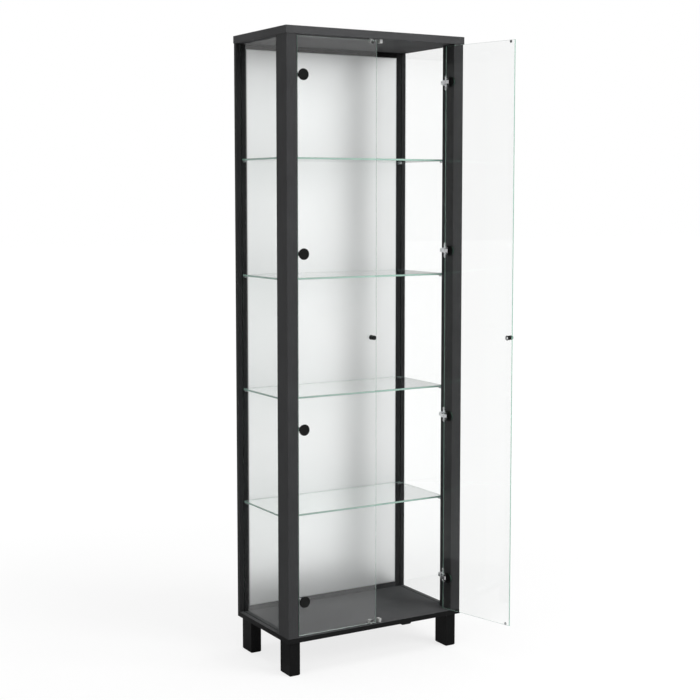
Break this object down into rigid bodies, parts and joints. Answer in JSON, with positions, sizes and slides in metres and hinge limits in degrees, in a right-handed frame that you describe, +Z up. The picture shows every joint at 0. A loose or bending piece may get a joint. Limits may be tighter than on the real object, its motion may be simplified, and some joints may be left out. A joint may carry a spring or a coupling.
{
  "type": "mirrored display cabinet",
  "caption": "Tall narrow display cabinet: black frame on block feet, mirror back, glass sides and shelves, two inset glass doors on cup hinges, one standing open.",
  "frame": {"origin": "on the floor, under the middle of the whole object's box with the right door open as pictured; the middle of the carcass is at x -14.0 mm, y +104.5 mm", "axes": "+X to the object's right seen from the front, +Y from the doors to the mirror, +Z up"},
  "size_m": [0.5805, 0.5119, 1.7],
  "materials": {
    "black_frame": "satin black paint on board",
    "door_glass": "clear polished glass with green edges",
    "side_glass": "clear polished glass",
    "shelf_glass": "clear polished glass with green edges",
    "mirror": "silvered mirror glass",
    "back_board": "black faced hardboard",
    "dowels": "fluted beech",
    "foot_pads": "matte",
    "cover_discs": "matte black",
    "screws": "zinc plated",
    "bright_screws": "bright nickel plated",
    "hinge_metal": "bright nickel plated steel",
    "hinge_black": "satin black",
    "knob": "satin black",
    "washer": "matte",
    "strikes": "zinc plated",
    "catches": "light grey moulded plastic",
    "shelf_pegs": "clear moulded plastic"
  },
  "bodies": {
    "carcass": {"back_board": "back_board", "back_board_screws": "screws", "bottom_panel": "black_frame", "bottom_panel_screws": "screws", "catch_magnets": "strikes", "door_catches_bottom": "catches", "door_catches_top": "catches", "foot_dowels": "dowels", "foot_front_left": "black_frame", "foot_front_right": "black_frame", "foot_pads": "foot_pads", "foot_rear_left": "black_frame", "foot_rear_right": "black_frame", "left_front_post": "black_frame", "left_hinge_arm_screws": "bright_screws", "left_hinge_arms": "hinge_metal", "left_hinge_plate_screws": "bright_screws", "left_hinge_plates": "hinge_metal", "left_rear_post": "black_frame", "left_side_glass": "side_glass", "mirror": "mirror", "post_dowels": "dowels", "rear_rail_bottom": "black_frame", "rear_rail_top": "black_frame", "right_front_post": "black_frame", "right_hinge_arm_screws": "bright_screws", "right_hinge_arms": "hinge_metal", "right_hinge_plate_screws": "bright_screws", "right_hinge_plates": "hinge_metal", "right_rear_post": "black_frame", "right_side_glass": "side_glass", "screw_cover_discs": "cover_discs", "shelf_1": "shelf_glass", "shelf_2": "shelf_glass", "shelf_3": "shelf_glass", "shelf_4": "shelf_glass", "shelf_pegs_1": "shelf_pegs", "shelf_pegs_2": "shelf_pegs", "shelf_pegs_3": "shelf_pegs", "shelf_pegs_4": "shelf_pegs", "top_panel": "black_frame", "top_panel_screws": "screws"},
    "left_door": {"left_door_glass": "door_glass", "left_hinge_cups": "hinge_black", "left_hinge_caps": "hinge_black", "left_hinge_pins": "bright_screws", "left_knob": "knob", "left_knob_washer": "washer", "left_knob_screw": "bright_screws", "left_door_strikes": "strikes"},
    "right_door": {"right_door_glass": "door_glass", "right_hinge_cups": "hinge_black", "right_hinge_caps": "hinge_black", "right_hinge_pins": "bright_screws", "right_knob": "knob", "right_knob_washer": "washer", "right_knob_screw": "bright_screws", "right_door_strikes": "strikes"}
  },
  "joints": [
    {"name": "left_door_hinge", "type": "hinge", "parent": "carcass", "child": "left_door", "pos_m": [-0.244, -0.036, 0.891], "axis": [0, 0, -1], "range_deg": [0, 106]},
    {"name": "right_door_hinge", "type": "hinge", "parent": "carcass", "child": "right_door", "pos_m": [0.216, -0.036, 0.891], "axis": [0, 0, 1], "range_deg": [-104, 2]}
  ]
}
